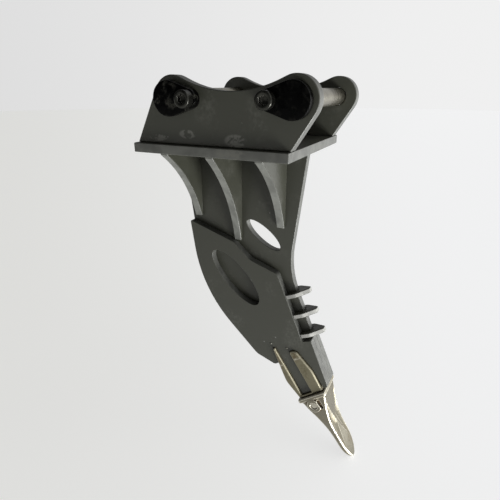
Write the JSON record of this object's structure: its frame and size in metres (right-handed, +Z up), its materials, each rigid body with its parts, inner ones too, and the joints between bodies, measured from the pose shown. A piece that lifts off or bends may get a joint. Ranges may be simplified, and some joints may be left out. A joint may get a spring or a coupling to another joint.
{
  "type": "ripper attachment",
  "caption": "Single-shank ripper attachment for a model excavator, with two hanger ears, side gussets, ribs and a pinned replaceable tooth.",
  "frame": {"origin": "on the front (stick) pin's axis, halfway between the two ears", "axes": "+Z up, +Y along the pins to the left, +X forward, the way the tooth digs"},
  "size_m": [0.0825, 0.058, 0.1539],
  "materials": {
    "plate_paint": "satin",
    "bare_steel": "satin",
    "pin_steel": "satin",
    "keeper_black": "gloss",
    "screw_steel": "gloss"
  },
  "bodies": {
    "root": {"adapter": "bare_steel", "base_plate": "plate_paint", "cheek_left": "plate_paint", "cheek_right": "plate_paint", "ear_left": "plate_paint", "ear_right": "plate_paint", "gusset_left_1": "plate_paint", "gusset_left_2": "plate_paint", "gusset_left_3": "plate_paint", "gusset_right_1": "plate_paint", "gusset_right_2": "plate_paint", "gusset_right_3": "plate_paint", "shank": "plate_paint", "shin_rib_1": "plate_paint", "shin_rib_2": "plate_paint", "shin_rib_3": "plate_paint", "tooth": "bare_steel", "tooth_pin_retainer": "keeper_black"},
    "front_pin": {"front_pin": "pin_steel", "front_pin_flag": "keeper_black"},
    "rear_pin": {"rear_pin": "pin_steel", "rear_pin_flag": "keeper_black"},
    "front_screw": {"front_keeper_screw": "screw_steel"},
    "rear_screw": {"rear_keeper_screw": "screw_steel"},
    "tooth_lock": {"tooth_pin": "pin_steel"}
  },
  "joints": [
    {"name": "front_pin_slide", "type": "slide", "parent": "root", "child": "front_pin", "axis": [0, -1, 0], "range_m": [0, 0.052]},
    {"name": "rear_pin_slide", "type": "slide", "parent": "root", "child": "rear_pin", "axis": [0, -1, 0], "range_m": [0, 0.052]},
    {"name": "front_screw_slide", "type": "slide", "parent": "front_pin", "child": "front_screw", "axis": [0, -1, 0], "range_m": [0, 0.007]},
    {"name": "rear_screw_slide", "type": "slide", "parent": "rear_pin", "child": "rear_screw", "axis": [0, -1, 0], "range_m": [0, 0.007]},
    {"name": "tooth_pin_slide", "type": "slide", "parent": "root", "child": "tooth_lock", "axis": [0, -1, 0], "range_m": [0, 0.014]}
  ]
}
